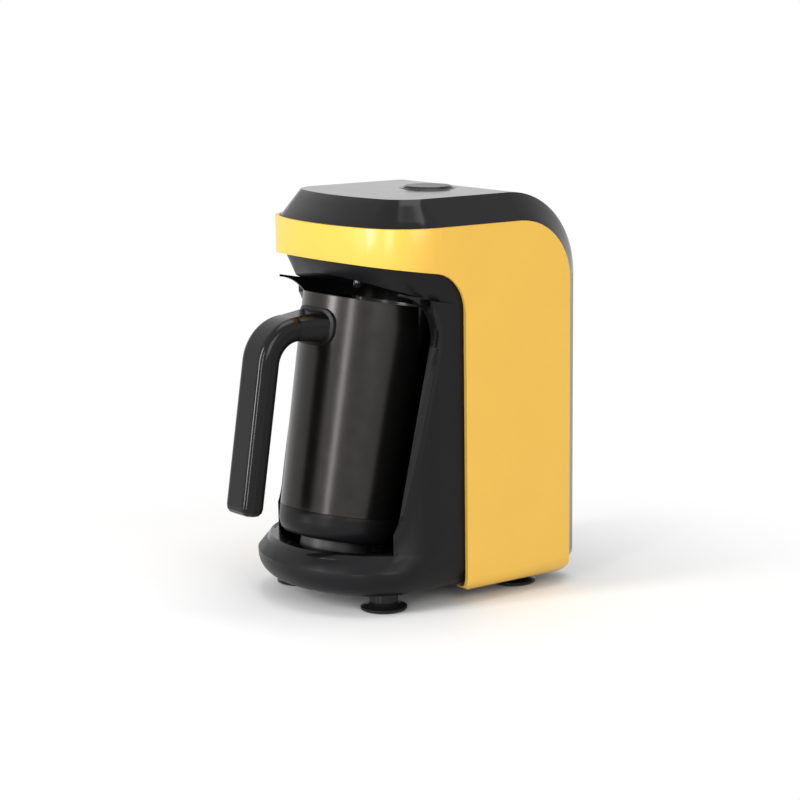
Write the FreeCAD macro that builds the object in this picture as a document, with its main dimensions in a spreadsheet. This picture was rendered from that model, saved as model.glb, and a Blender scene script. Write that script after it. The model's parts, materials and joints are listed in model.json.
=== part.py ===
import FreeCAD, Part
import Sketcher
import math
import os
import re

# Electric coffee maker with a leaning, lift-out jug.
# Origin: on the table, under the middle of the whole machine. +Z up, the handle points to -Y.
# Lengths are millimetres, angles are degrees.

SIZES = {
    "fit_gap": 0.3,
    # coloured shell: both sides and the band round the front
    "shell_half_width": 71.0,
    "shell_wall": 2.5,
    "shell_bottom_z": 7.2,
    "shell_bottom_round": 10.0,
    "shell_flange": 14.0,
    "shell_front_y": 10.8,
    "shell_rear_y": 92.75,
    "shell_rear_round": 38.0,
    "shell_corner_round": 8.0,
    "band_front_y": -48.15,
    "band_bow": 95.0,
    "band_flat": 34.0,
    "band_height": 21.1,
    "band_low_slope": 0.14,
    "band_fillet": 24.0,
    # black cover over the top and down the back
    "cover_step": 3.4,
    "cover_rise": 15.7,
    "cover_lap": 4.0,
    "cover_rear_y": 109.2,
    "cover_shoulder": 52.0,
    "cover_bevel": 12.5,
    "cover_wall": 2.5,
    "cover_bottom_z": 12.0,
    "cover_foot_round": 6.0,
    "vent_half_width": 22.0,
    "vent_height": 3.0,
    "vent_pitch": 9.0,
    "vent_low_z": 70.0,
    # front frame, lip and tray
    "frame_wall": 2.5,
    "base_front_y": -76.0,
    "base_bow": 16.8,
    "base_flat": 22.2,
    "lip_front_y": -68.25,
    "lip_bow": 7.8,
    "lip_flat": 12.2,
    "lip_top_z": 36.5,
    "lip_width": 6.0,
    "lip_fillet": 32.0,
    "seam_z": 27.0,
    "tray_bottom_z": 10.5,
    "tray_round": 14.0,
    "tray_wall": 2.5,
    "frame_lap": 14.0,
    "visor_height": 11.3,
    "visor_top_y": -43.25,
    "visor_slope": 0.5,
    "visor_skirt": 30.0,
    "visor_bow": 88.0,
    "visor_flat": 32.2,
    "visor_lap": 14.0,
    "mouth_reach": 20.0,
    # alcove, measured in the jug's leaning frame
    "alcove_side": 11.0,
    "alcove_rear": 46.0,
    "alcove_corner": 45.0,
    "alcove_headroom": 11.5,
    "alcove_edge_y": -1.8,
    "alcove_edge_lean": 13.5,
    "alcove_top_fillet": 26.0,
    "vault_radius": 380.0,
    "liner_wall": 2.0,
    "liner_rim": 3.0,
    "sensor_y": -9.5,
    "sensor_drop": 6.0,
    "sensor_radius": 3.2,
    "sensor_housing_radius": 7.0,
    "sensor_housing_height": 12.0,
    "dock_height": 9.2,
    "dock_radius": 22.0,
    "dock_bore": 11.0,
    "dock_contact_radius": 3.0,
    "dock_gap": 0.3,
    "dock_sink": 0.4,
    # jug
    "jug_y": -31.75,
    "jug_z": 53.8,
    "jug_lean": 10.75,
    "jug_low_radius": 37.3,
    "jug_rim_radius": 40.2,
    "jug_height": 129.8,
    "jug_wall": 1.0,
    "jug_rim_bead": 0.6,
    "jug_ring_height": 16.5,
    "jug_ring_round": 7.0,
    "jug_ring_wall": 2.0,
    "jug_ring_lap": 2.0,
    "jug_ring_draft": 0.3,
    "jug_spigot": 5.0,
    "spout_radius": 9.0,
    "spout_height": 34.0,
    "spout_reach": 3.5,
    "spout_root_radius": 1.2,
    "spout_turn": 22.0,
    "jug_cover_thick": 2.0,
    "jug_cover_gap": 0.1,
    "coupler_radius": 12.0,
    "coupler_neck": 9.0,
    "coupler_height": 7.0,
    "coupler_sink": 0.6,
    "heater_radius": 26.0,
    "heater_bore": 8.0,
    "heater_thick": 2.6,
    "thermostat_radius": 7.0,
    "seal_width": 2.4,
    "seal_height": 2.2,
    "seal_gap": 0.2,
    # handle, along its middle line in the plane x = 0
    "handle_drop": 11.8,
    "handle_knee_y": -84.75,
    "handle_end_y": -102.05,
    "handle_end_z": 66.0,
    "handle_knee_radius": 22.0,
    "handle_width": 24.0,
    "handle_depth": 14.5,
    "handle_root_width": 34.0,
    "handle_root_depth": 20.0,
    "handle_corner": 5.0,
    "handle_root_corner": 9.0,
    "handle_root_sink": 6.0,
    "handle_split": 1.5,
    "handle_tip": 5.0,
    "collar_rim": 1.0,
    "collar_reach": 1.8,
    "bracket_width": 8.0,
    "bracket_thick": 5.0,
    "bracket_length": 18.0,
    # button in the top
    "button_y": 38.75,
    "button_radius": 14.6,
    "button_rise": 1.5,
    "button_disc": 3.5,
    "button_bevel": 0.8,
    "button_dish": 0.3,
    "button_travel": 1.2,
    "button_stem_radius": 4.0,
    "button_side_gap": 0.4,
    "trim_sink": 0.4,
    "trim_crown": 0.5,
    "cup_wall": 2.5,
    "cup_depth": 10.0,
    "cup_floor": 1.5,
    "cup_flange": 3.0,
    "cup_flange_thick": 2.0,
    "board_thick": 1.6,
    "board_half_x": 31.0,
    "board_half_y": 29.0,
    "post_x": 26.0,
    "post_y": 24.0,
    "post_radius": 3.0,
    "post_bore": 1.25,
    "post_root": 0.5,
    "board_hole_radius": 1.5,
    "switch_side": 12.0,
    "switch_high": 4.0,
    "switch_floor": 0.4,
    "plunger_radius": 3.0,
    "plunger_side_gap": 0.25,
    "plunger_gap": 0.3,
    "spring_radius": 8.0,
    "spring_wall": 1.6,
    # feet
    "foot_inset": 27.0,
    "foot_front_y": -33.05,
    "foot_rear_y": 69.0,
    "foot_pad_radius": 14.2,
    "foot_neck_radius": 8.5,
    "foot_pad_high": 2.2,
    "foot_chamfer": 1.5,
    "foot_slope": 1.4,
    "foot_waist": 3.2,
    # inside
    "chassis_y": 52.75,
    "chassis_wall": 2.5,
    "chassis_inset": 17.0,
    "chassis_drop": 3.2,
    "chassis_rib": 14.0,
    "standoff": 5.0,
    "standoff_radius": 3.0,
    "foot_flange": 26.0,
    "foot_screw_x": 26.0,
    "foot_screw_pitch": 17.0,
    "foot_screw_radius": 1.6,
    "foot_screw_length": 9.0,
    "screw_gap": 0.3,
    "screw_head_radius": 3.2,
    "screw_head": 2.0,
    "power_board_width": 76.0,
    "power_board_height": 90.0,
    "power_board_low_z": 60.0,
    "power_board_margin": 5.5,
    "transformer_width": 34.0,
    "transformer_depth": 26.0,
    "transformer_height": 34.0,
    "relay_width": 15.0,
    "relay_depth": 16.0,
    "relay_height": 19.0,
    "terminal_width": 28.0,
    "terminal_depth": 11.0,
    "terminal_height": 12.0,
    "sink_width": 24.0,
    "sink_height": 30.0,
    "sink_depth": 15.0,
    "sink_plate": 3.0,
    "fin_thick": 2.0,
    "fin_pitch": 4.4,
    "capacitor_radius": 6.0,
    "capacitor_length": 18.0,
    "capacitor_pitch": 15.0,
    "part_gap": 4.0,
    "buzzer_radius": 6.0,
    "buzzer_height": 7.0,
    "wire_radius": 2.5,
    "board_screw_head_radius": 2.5,
    "board_screw_head": 1.5,
    "board_screw_radius": 1.1,
    "board_screw_length": 6.0,
    "cord_z": 30.0,
    "cord_bore": 7.2,
    "gland_radius": 7.0,
    "gland_flange": 3.0,
    "gland_flange_thick": 4.0,
    "cable_radius": 2.2,
    "cable_bend": 5.0,
    "cable_offset": 8.0,
}

# Sizes that follow from the ones above
FORMULAS = {
    "frame_half_width": "shell_half_width - shell_wall - fit_gap",
    "alcove_half_width": "shell_half_width - alcove_side",
    "ceiling": "jug_height + alcove_headroom",
    "mouth_top_z": "jug_z + ceiling / cos(jug_lean)",
    "band_low_z": "mouth_top_z + visor_height",
    "band_top_z": "band_low_z + band_height",
    "cover_top_z": "band_top_z + cover_rise",
    "visor_low_z": "band_low_z - visor_skirt",
    "visor_low_y": "visor_top_y + visor_skirt * visor_slope",
    "handle_root_z": "jug_z + jug_height * cos(jug_lean) - handle_drop",
    "foot_x": "shell_half_width - foot_inset",
    "chassis_half_width": "shell_half_width - chassis_inset",
    "chassis_top_z": "band_low_z - chassis_drop",
}


class Values:
    pass


v = Values()
for size_name, size_value in SIZES.items():
    setattr(v, size_name, size_value)

doc = FreeCAD.newDocument("coffee_maker")
sheet = doc.addObject("Spreadsheet::Sheet", "Sizes")
for row, (size_name, size_value) in enumerate(SIZES.items(), start=1):
    sheet.set("A%d" % row, size_name)
    sheet.set("B%d" % row, str(size_value))
    sheet.setAlias("B%d" % row, size_name)
for row, (size_name, formula) in enumerate(FORMULAS.items(), start=len(SIZES) + 1):
    sheet.set("A%d" % row, size_name)
    sheet.set("B%d" % row, "=" + formula)
    sheet.setAlias("B%d" % row, size_name)
doc.recompute()
for size_name in FORMULAS:
    found = sheet.get(size_name)
    setattr(v, size_name, float(getattr(found, "Value", found)))

nodes = []

LEAN = math.radians(v.jug_lean)
EDGE_LEAN = math.radians(v.alcove_edge_lean)
FAR = 300.0
SIDE_DROP = v.vault_radius - math.sqrt(v.vault_radius ** 2 - v.frame_half_width ** 2)
FLOOR = -v.jug_ring_height - v.dock_gap - v.dock_height
JUG_PLACE = FreeCAD.Placement(FreeCAD.Vector(0, v.jug_y, v.jug_z),
                              FreeCAD.Rotation(FreeCAD.Vector(1, 0, 0), -v.jug_lean))


def bind(text):
    """Turn an expression of plain size names into one that reads the sheet."""
    return re.sub(r"\b([a-z]\w*)\b", r"Sizes.\1", text)


def value_of(text):
    result = doc.Sizes.evalExpression(bind(text))
    return float(getattr(result, "Value", result))


def add_feature(label, shape, placement=None):
    """A sub-part whose shape is worked out here from the named sizes."""
    feature = doc.addObject("Part::Feature", label)
    feature.Label = label
    feature.Shape = shape
    if placement is not None:
        feature.Placement = placement
    nodes.append(feature)
    return feature


def new_body(label, placement=None):
    body = doc.addObject("PartDesign::Body", label)
    body.Label = label
    if placement is not None:
        body.Placement = placement
    nodes.append(body)
    return body


def add_sketch(body, role, name):
    sketch = body.newObject("Sketcher::SketchObject", name)
    plane = [item for item in body.Origin.OriginFeatures if item.Role == role][0]
    sketch.AttachmentSupport = [(plane, "")]
    sketch.MapMode = "FlatFace"
    return sketch


def fix_point(sketch, line, end, point):
    """Hold one end of a line at a pair of expressions of named sizes."""
    for kind, text in zip(("DistanceX", "DistanceY"), point):
        number = value_of(text)
        index = sketch.addConstraint(Sketcher.Constraint(kind, -1, 1, line, end, number))
        sketch.setExpression("Constraints[%d]" % index, bind(text))


def add_polygon(sketch, points):
    corners = [FreeCAD.Vector(value_of(a), value_of(b), 0) for a, b in points]
    lines = []
    for index, corner in enumerate(corners):
        after = corners[(index + 1) % len(corners)]
        lines.append(sketch.addGeometry(Part.LineSegment(corner, after), False))
    for index, line in enumerate(lines):
        after = lines[(index + 1) % len(lines)]
        sketch.addConstraint(Sketcher.Constraint("Coincident", line, 2, after, 1))
    for line, point in zip(lines, points):
        fix_point(sketch, line, 1, point)


def add_circle(sketch, centre, radius):
    middle = FreeCAD.Vector(value_of(centre[0]), value_of(centre[1]), 0)
    circle = sketch.addGeometry(Part.Circle(middle, FreeCAD.Vector(0, 0, 1), value_of(radius)), False)
    fix_point(sketch, circle, 3, centre)
    index = sketch.addConstraint(Sketcher.Constraint("Radius", circle, value_of(radius)))
    sketch.setExpression("Constraints[%d]" % index, bind(radius))


def turned_body(label, points, placement=None):
    """A turned piece: its half section of (radius, height) is spun round the vertical axis."""
    body = new_body(label, placement)
    sketch = add_sketch(body, "XZ_Plane", label + "_section")
    add_polygon(sketch, points)
    turn = body.newObject("PartDesign::Revolution", label + "_turn")
    turn.Profile = (sketch, [""])
    turn.ReferenceAxis = (sketch, ["V_Axis"])
    turn.Angle = 360
    return body


def plate_body(label, points, low, high, holes=(), placement=None):
    """A flat piece: a level outline raised from one height to another, with round holes."""
    body = new_body(label, placement)
    sketch = add_sketch(body, "XY_Plane", label + "_outline")
    sketch.setExpression("AttachmentOffset.Base.z", bind(low))
    add_polygon(sketch, points)
    for centre, radius in holes:
        add_circle(sketch, centre, radius)
    pad = body.newObject("PartDesign::Pad", label + "_pad")
    pad.Profile = (sketch, [""])
    pad.setExpression("Length", bind("(%s) - (%s)" % (high, low)))
    return body


def oblong(half_x, y_low, y_high):
    """The four corners of a level oblong, as expressions."""
    return [("-(%s)" % half_x, y_low), (half_x, y_low), (half_x, y_high), ("-(%s)" % half_x, y_high)]


def at_xy(height):
    return lambda a, b: FreeCAD.Vector(a, b, height)


def at_yz(side):
    return lambda a, b: FreeCAD.Vector(side, a, b)


def rounded_wire(corners, to_space):
    """A closed outline through corners (a, b, radius), each corner turned by an arc."""
    count = len(corners)
    starts, ends, middles = [], [], []
    for index, (a, b, radius) in enumerate(corners):
        here = FreeCAD.Vector(a, b, 0)
        before = FreeCAD.Vector(*corners[index - 1][:2], 0) - here
        after = FreeCAD.Vector(*corners[(index + 1) % count][:2], 0) - here
        before.normalize()
        after.normalize()
        half = before.getAngle(after) / 2
        if radius <= 0:
            starts.append(here)
            ends.append(here)
            middles.append(None)
            continue
        reach = radius / math.tan(half)
        inward = before + after
        inward.normalize()
        centre = here + inward * (radius / math.sin(half))
        starts.append(here + before * reach)
        ends.append(here + after * reach)
        middles.append(centre - inward * radius)
    edges = []
    for index in range(count):
        if middles[index] is not None:
            trio = [to_space(point.x, point.y) for point in (starts[index], middles[index], ends[index])]
            edges.append(Part.Arc(*trio).toShape())
        nxt = (index + 1) % count
        first, last = to_space(ends[index].x, ends[index].y), to_space(starts[nxt].x, starts[nxt].y)
        if (last - first).Length > 1e-6:
            edges.append(Part.LineSegment(first, last).toShape())
    return Part.Wire(edges)


def plan_wire(half_width, front_y, front_radius, corner_radius, rear_y, height):
    """A level outline with a bowed front, round front corners and straight sides."""
    middle_y = front_y + front_radius
    corner_x = half_width - corner_radius
    fall = math.sqrt((front_radius - corner_radius) ** 2 - corner_x ** 2)
    corner_y = middle_y - fall
    slope = math.atan2(corner_y - middle_y, corner_x)

    def on_circle(x, y, radius, angle, side):
        return FreeCAD.Vector(side * (x + radius * math.cos(angle)), y + radius * math.sin(angle), height)

    meet = [on_circle(0, middle_y, front_radius, slope, side) for side in (-1, 1)]
    nose = FreeCAD.Vector(0, front_y, height)
    cheek = [on_circle(corner_x, corner_y, corner_radius, slope / 2, side) for side in (-1, 1)]
    flank = [FreeCAD.Vector(side * half_width, corner_y, height) for side in (-1, 1)]
    tail = [FreeCAD.Vector(side * half_width, rear_y, height) for side in (-1, 1)]
    return Part.Wire([
        Part.Arc(meet[0], nose, meet[1]).toShape(),
        Part.Arc(meet[1], cheek[1], flank[1]).toShape(),
        Part.LineSegment(flank[1], tail[1]).toShape(),
        Part.LineSegment(tail[1], tail[0]).toShape(),
        Part.LineSegment(tail[0], flank[0]).toShape(),
        Part.Arc(flank[0], cheek[0], meet[0]).toShape(),
    ])


def raised(wire, height):
    return Part.Face(wire).extrude(FreeCAD.Vector(0, 0, height))


def across(corners):
    """A solid right across the machine from an outline in the side view."""
    return Part.Face(rounded_wire(corners, at_yz(-FAR))).extrude(FreeCAD.Vector(2 * FAR, 0, 0))


def block(x_low, x_high, y_low, y_high, z_low, z_high):
    return Part.makeBox(x_high - x_low, y_high - y_low, z_high - z_low, FreeCAD.Vector(x_low, y_low, z_low))


def leaning(shape):
    """Move a shape made round the jug's axis to the jug's place."""
    moved = shape.copy()
    moved.Placement = JUG_PLACE
    return moved


def rod(radius, height, x, y, z):
    return Part.makeCylinder(radius, height, FreeCAD.Vector(x, y, z))


def nested_plan(half_width, front_y, bow, flat, inset, rear_y, height):
    """A plan outline drawn in by an inset, its bow and flat measured from the half width."""
    return plan_wire(half_width - inset, front_y + inset, half_width + bow - inset, half_width - flat - inset,
                     rear_y, height)


def base_plan(inset, rear_y, height):
    return nested_plan(v.frame_half_width, v.base_front_y, v.base_bow, v.base_flat, inset, rear_y, height)


def lip_plan(inset, rear_y, height):
    return nested_plan(v.frame_half_width, v.lip_front_y, v.lip_bow, v.lip_flat, inset, rear_y, height)


def band_plan(inset, rear_y, height):
    return nested_plan(v.shell_half_width, v.band_front_y, v.band_bow, v.band_flat, inset, rear_y, height)


def visor_plan(front_y, inset, rear_y, height):
    return nested_plan(v.frame_half_width, front_y, v.visor_bow, v.visor_flat, inset, rear_y, height)


def band_low(y):
    """Height of the coloured band's lower edge, which falls towards the rear."""
    return v.band_low_z - v.band_low_slope * (y - v.band_front_y)


# Regions that several pieces share


def shell_region():
    """Side view of everything that the coloured shell covers, short of the cover's lap inside it."""
    rear = v.shell_rear_y + v.fit_gap
    top = v.band_top_z - v.cover_lap
    return across([
        (-FAR, -FAR, 0),
        (rear, -FAR, 0),
        (rear, top, v.shell_rear_round),
        (-FAR, top, 0),
    ])


def edge_y(z, back):
    """Place of the alcove's leaning front edge at a height, moved back by a distance."""
    return v.jug_y + v.alcove_edge_y + back / math.cos(EDGE_LEAN) + (z - v.jug_z) * math.tan(EDGE_LEAN)


def side_ceiling_z(y, rise):
    """Height of the vaulted ceiling where it meets the side walls, raised by a distance."""
    return v.jug_z + (v.ceiling - SIDE_DROP + rise) / math.cos(LEAN) - (y - v.jug_y) * math.tan(LEAN)


def behind_edge(back):
    """Everything outside the mouth in the side view: under the lip, behind the edge, over the ceiling."""
    lip_z = v.lip_top_z - back
    slope = math.tan(EDGE_LEAN) * math.tan(LEAN)
    corner_z = (side_ceiling_z(edge_y(0, back), back)) / (1 + slope)
    return across([
        (-FAR, -FAR, 0),
        (-FAR, lip_z, 0),
        (edge_y(lip_z, back), lip_z, v.lip_fillet + back),
        (edge_y(corner_z, back), corner_z, v.alcove_top_fillet + back),
        (-FAR, side_ceiling_z(-FAR, back), 0),
        (-FAR, FAR, 0),
        (FAR, FAR, 0),
        (FAR, -FAR, 0),
    ])


def alcove_prism(grow, low, high):
    """The alcove's leaning hollow, grown sideways and to the rear."""
    side = v.alcove_half_width + grow
    rear = v.alcove_rear + grow
    corners = [(-side, -FAR, 0), (-side, rear, v.alcove_corner + grow),
               (side, rear, v.alcove_corner + grow), (side, -FAR, 0)]
    wire = rounded_wire(corners, at_xy(low))
    return leaning(raised(wire, high - low))


def alcove_space():
    """The hollow that the jug stands in: open above the lip, held in by the lip below its top."""
    hollow = alcove_prism(0, FLOOR, v.ceiling).common(under_ceiling(0))
    above = hollow.common(block(-FAR, FAR, -FAR, FAR, v.lip_top_z, FAR))
    inside = hollow.common(raised(lip_plan(v.lip_width, v.shell_rear_y, v.seam_z - v.lip_top_z),
                                  2 * v.lip_top_z))
    return above.fuse(inside)


def outer_front():
    """The filled outside of the front frame, from the seam up to the visor."""
    lap_y = v.shell_front_y + v.frame_lap
    low = Part.makeLoft([base_plan(0, lap_y, v.seam_z), lip_plan(0, lap_y, v.lip_top_z)], True, True)
    walls = raised(lip_plan(0, lap_y, v.lip_top_z), v.band_low_z - v.lip_top_z)
    return low.fuse(walls)


def under_ceiling(drop):
    """Everything below the alcove's leaning, slightly vaulted ceiling."""
    middle = FreeCAD.Vector(0, -FAR, v.ceiling - drop - v.vault_radius)
    return leaning(Part.makeCylinder(v.vault_radius, 2 * FAR, middle, FreeCAD.Vector(0, 1, 0)))


# Outer pieces


def make_side_shell():
    rear = v.shell_rear_y
    outside = raised(band_plan(0, rear, v.shell_bottom_z), FAR)
    low_edges = [edge for edge in outside.Edges
                 if abs(edge.CenterOfMass.z - v.shell_bottom_z) < 0.01
                 and abs(abs(edge.CenterOfMass.x) - v.shell_half_width) < 0.01]
    outside = outside.makeFillet(v.shell_bottom_round, low_edges)
    floor_z = v.shell_bottom_z + v.shell_wall
    inside = raised(band_plan(v.shell_wall, rear + FAR, floor_z), FAR)
    low_edges = [edge for edge in inside.Edges
                 if abs(edge.CenterOfMass.z - floor_z) < 0.01
                 and abs(abs(edge.CenterOfMass.x) - v.shell_half_width + v.shell_wall) < 0.01]
    inside = inside.makeFillet(v.shell_bottom_round - v.shell_wall, low_edges)
    side_view = across([
        (-FAR, band_low(-FAR), 0),
        (v.shell_front_y, band_low(v.shell_front_y), v.band_fillet),
        (v.shell_front_y, v.shell_bottom_z, v.shell_corner_round),
        (rear, v.shell_bottom_z, v.shell_corner_round),
        (rear, v.band_top_z, v.shell_rear_round),
        (-FAR, v.band_top_z, 0),
    ])
    middle = v.shell_half_width - v.shell_flange
    gap_below = block(-middle, middle, -FAR, FAR, -FAR, v.band_low_z - v.band_fillet)
    add_feature("side_shell", outside.cut(inside).common(side_view).cut(gap_below))


def cover_side_view(inset, bevel, x):
    """Side outline of the cover at a distance across: the bevel draws it in at the top and rear."""
    top = v.cover_top_z - inset - bevel
    rear = v.cover_rear_y - inset - bevel
    low = v.cover_bottom_z + inset
    return rounded_wire([
        (v.button_y, low, 0),
        (rear, low, v.cover_foot_round - inset),
        (rear, top, v.cover_shoulder - inset - bevel),
        (v.button_y, top, 0),
    ], at_yz(x))


def cover_solid(inset):
    """The black cover's filled shape: bowed front, round shoulder, bevelled all along its edge."""
    set_in = v.cover_step + inset
    top = v.cover_top_z - inset
    low = v.cover_bottom_z + inset
    side = v.shell_half_width - set_in
    inner_x = side - v.cover_bevel
    front = raised(band_plan(set_in, v.button_y, low), top - v.cover_rise - low)
    front = front.fuse(Part.makeLoft([band_plan(set_in, v.button_y, top - v.cover_rise),
                                      band_plan(set_in + v.cover_bevel, v.button_y, top)], True, True))
    middle = Part.Face(cover_side_view(inset, 0, -inner_x)).extrude(FreeCAD.Vector(2 * inner_x, 0, 0))
    rear = middle
    for sign in (-1, 1):
        rear = rear.fuse(Part.makeLoft([cover_side_view(inset, 0, sign * inner_x),
                                        cover_side_view(inset, v.cover_rise, sign * side)], True, True))
    return front.fuse(rear).removeSplitter()


def make_cover():
    cover = cover_solid(0).cut(cover_solid(v.cover_wall)).cut(shell_region())
    roof = v.cover_top_z - v.cover_wall
    board_top = roof - v.cup_depth - v.fit_gap
    for x, y in board_posts():
        cover = cover.fuse(rod(v.post_radius, roof + v.post_root - board_top, x, y, board_top))
    for x, y in board_posts():
        cover = cover.cut(rod(v.post_bore, v.board_screw_length + v.post_root, x, y, board_top))
    hole = v.button_radius + v.button_side_gap + v.cup_wall
    cover = cover.cut(rod(hole, FAR, 0, v.button_y, roof - v.cover_wall))
    inside_y = v.cover_rear_y - 2 * v.cover_wall
    cover = cover.cut(along_y(v.gland_radius + v.fit_gap / 2, FAR, 0, inside_y, v.cord_z))
    for row in range(5):
        z = v.vent_low_z + row * v.vent_pitch
        cover = cover.cut(block(-v.vent_half_width, v.vent_half_width, inside_y, FAR, z, z + v.vent_height))
    add_feature("top_rear_cover", cover)


def board_posts():
    """Where the control board is screwed to the cover."""
    return [(side * v.post_x, v.button_y + along) for side in (-1, 1) for along in (-v.post_y, v.post_y)]


def over_mouth():
    """The space over the jug in front of the visor, which stays free."""
    return block(-FAR, FAR, -FAR, v.jug_y + v.mouth_reach, v.handle_root_z, FAR)


def visor_block(inset):
    """The filled hood behind the band: it leans back down to its skirt, and stands straight above."""
    lap_y = v.shell_front_y + v.frame_lap + inset * FAR
    back = 2 * inset
    sloping = Part.makeLoft([visor_plan(v.visor_low_y + back, inset, lap_y, v.visor_low_z),
                             visor_plan(v.visor_top_y + back, inset, lap_y, v.band_low_z)], True, True)
    upright = raised(visor_plan(v.visor_top_y + back, inset, lap_y, v.band_low_z), v.visor_lap + inset)
    return sloping.fuse(upright)


def make_front_frame():
    lap_y = v.shell_front_y + v.frame_lap
    outside = outer_front()
    below_lip = v.lip_top_z - v.seam_z - v.liner_rim
    hollow_low = raised(base_plan(v.frame_wall, lap_y + FAR, v.seam_z - v.frame_wall), below_lip + v.frame_wall)
    thin = raised(lip_plan(v.frame_wall, lap_y + FAR, v.seam_z - v.frame_wall), FAR)
    above_seam = block(-FAR, FAR, -FAR, FAR, v.seam_z + v.fit_gap, FAR)
    walls = outside.cut(thin.common(hollow_low.fuse(above_seam)))
    walls = walls.common(behind_edge(v.liner_rim)).common(under_ceiling(0)).cut(alcove_space())
    walls = walls.cut(over_mouth())
    visor = visor_block(0).cut(under_ceiling(0))
    visor = visor.cut(visor_block(v.frame_wall).cut(under_ceiling(-v.frame_wall)))
    sensor_hole = leaning(rod(v.sensor_radius + v.fit_gap, 2 * v.visor_height, 0, v.sensor_y,
                              v.ceiling - v.visor_height))
    frame = walls.fuse(visor).cut(sensor_hole).removeSplitter()
    add_feature("front_frame", frame)


def make_alcove_liner():
    outside = outer_front()
    alcove = alcove_space()
    rim = outside.common(behind_edge(0)).cut(behind_edge(v.liner_rim)).cut(alcove).cut(over_mouth())
    shell = alcove_prism(v.liner_wall, FLOOR - v.liner_wall, v.ceiling)
    inner_plan = raised(lip_plan(v.frame_wall + v.fit_gap, v.shell_rear_y, 0), FAR)
    shell = shell.common(inner_plan).common(behind_edge(0)).cut(alcove)
    over_floor = leaning(block(-FAR, FAR, -FAR, FAR, FLOOR, FAR))
    before_lip = block(-FAR, FAR, -FAR, edge_y(v.lip_top_z, 0) - v.lip_fillet / 2, 0, v.lip_top_z - v.liner_rim)
    lip_inside = raised(lip_plan(v.lip_width - v.liner_wall, v.shell_rear_y, 0), FAR)
    shell = shell.cut(over_floor.common(before_lip).cut(lip_inside))
    liner = rim.fuse(shell).common(under_ceiling(0)).removeSplitter()
    add_feature("alcove_liner", liner)


def make_base_tray():
    rear = v.shell_rear_y - v.fit_gap
    top = v.seam_z
    outside = raised(base_plan(0, rear, v.tray_bottom_z), top - v.tray_bottom_z)
    edges = [edge for edge in outside.Edges if abs(edge.BoundBox.ZMax - v.tray_bottom_z) < 0.01
             and edge.CenterOfMass.y < rear - 1]
    outside = outside.makeFillet(v.tray_round, edges)
    floor_z = v.tray_bottom_z + v.tray_wall
    inside = raised(base_plan(v.tray_wall, rear - v.tray_wall, floor_z), top - floor_z + 1)
    edges = [edge for edge in inside.Edges if abs(edge.BoundBox.ZMax - floor_z) < 0.01
             and edge.CenterOfMass.y < rear - v.tray_wall - 1]
    inside = inside.makeFillet(v.tray_round - v.tray_wall, edges)
    tray = outside.cut(inside)
    flange = v.shell_half_width - v.shell_flange - v.fit_gap
    for side in (-1, 1):
        low, high = sorted((side * flange, side * FAR))
        tray = tray.cut(block(low, high, v.shell_front_y - v.fit_gap, FAR, -FAR,
                              v.shell_bottom_z + v.shell_wall + v.fit_gap))
    for x, y in foot_screws():
        hole = rod(v.foot_screw_radius + v.screw_gap, 2 * v.tray_wall, x, y, v.tray_bottom_z - v.tray_wall)
        tray = tray.cut(hole)
    add_feature("base_tray", tray)


def make_feet():
    places = {
        "foot_front_left": (-v.foot_x, v.foot_front_y),
        "foot_front_right": (v.foot_x, v.foot_front_y),
        "foot_rear_left": (-v.foot_x, v.foot_rear_y),
        "foot_rear_right": (v.foot_x, v.foot_rear_y),
    }
    section = [
        ("0", "0"),
        ("foot_pad_radius - foot_chamfer", "0"),
        ("foot_pad_radius", "foot_pad_high * 0.4"),
        ("foot_pad_radius", "foot_pad_high"),
        ("foot_neck_radius + foot_chamfer", "foot_pad_high + foot_slope"),
        ("foot_neck_radius", "foot_pad_high + foot_waist"),
        ("foot_neck_radius", "tray_bottom_z"),
        ("0", "tray_bottom_z"),
    ]
    for label, (x, y) in places.items():
        turned_body(label, section, FreeCAD.Placement(FreeCAD.Vector(x, y, 0), FreeCAD.Rotation()))


# Dock in the alcove's floor


def make_dock():
    low = "-jug_ring_height - dock_gap - dock_height"
    high = "-jug_ring_height - dock_gap"
    sunk = high + " - dock_sink"
    turned_body("dock_plate", [
        ("dock_bore", low), ("dock_radius + dock_sink", low), ("dock_radius", high), ("dock_bore", high),
    ], JUG_PLACE)
    turned_body("dock_connector", [
        ("dock_contact_radius", low), ("dock_bore", low), ("dock_bore", sunk), ("dock_contact_radius", sunk)],
        JUG_PLACE)
    turned_body("dock_contact", [
        ("0", low), ("dock_contact_radius", low), ("dock_contact_radius", sunk), ("0", sunk)], JUG_PLACE)


# Jug, made round its own axis with the seam at height 0


def jug_radius(z):
    return v.jug_low_radius + (v.jug_rim_radius - v.jug_low_radius) * z / v.jug_height


def beside_jug(side, distance, z):
    """A point beside the jug's axis, turned a little towards the rear, where the pouring lips are."""
    turn = math.radians(v.spout_turn)
    return FreeCAD.Vector(side * distance * math.cos(turn), distance * math.sin(turn), z)


def jug_filled(inset):
    """The jug's filled outside or inside, with a pouring lip on each side."""
    low = v.jug_wall * 2 if inset else 0
    bottom = jug_radius(low) - inset
    top = v.jug_rim_radius - inset
    body = Part.makeCone(bottom, top, v.jug_height - low, FreeCAD.Vector(0, 0, low))
    lip_z = v.jug_height - v.spout_height
    for side in (-1, 1):
        foot = beside_jug(side, jug_radius(lip_z) - inset - v.spout_root_radius - v.jug_wall, lip_z)
        crest = beside_jug(side, v.jug_rim_radius + v.spout_reach - v.spout_radius, v.jug_height)
        lip = Part.makeLoft([
            Part.Wire(Part.makeCircle(v.spout_root_radius, foot)),
            Part.Wire(Part.makeCircle(v.spout_radius - inset, crest)),
        ], True, True)
        body = body.fuse(lip)
    return body


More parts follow.
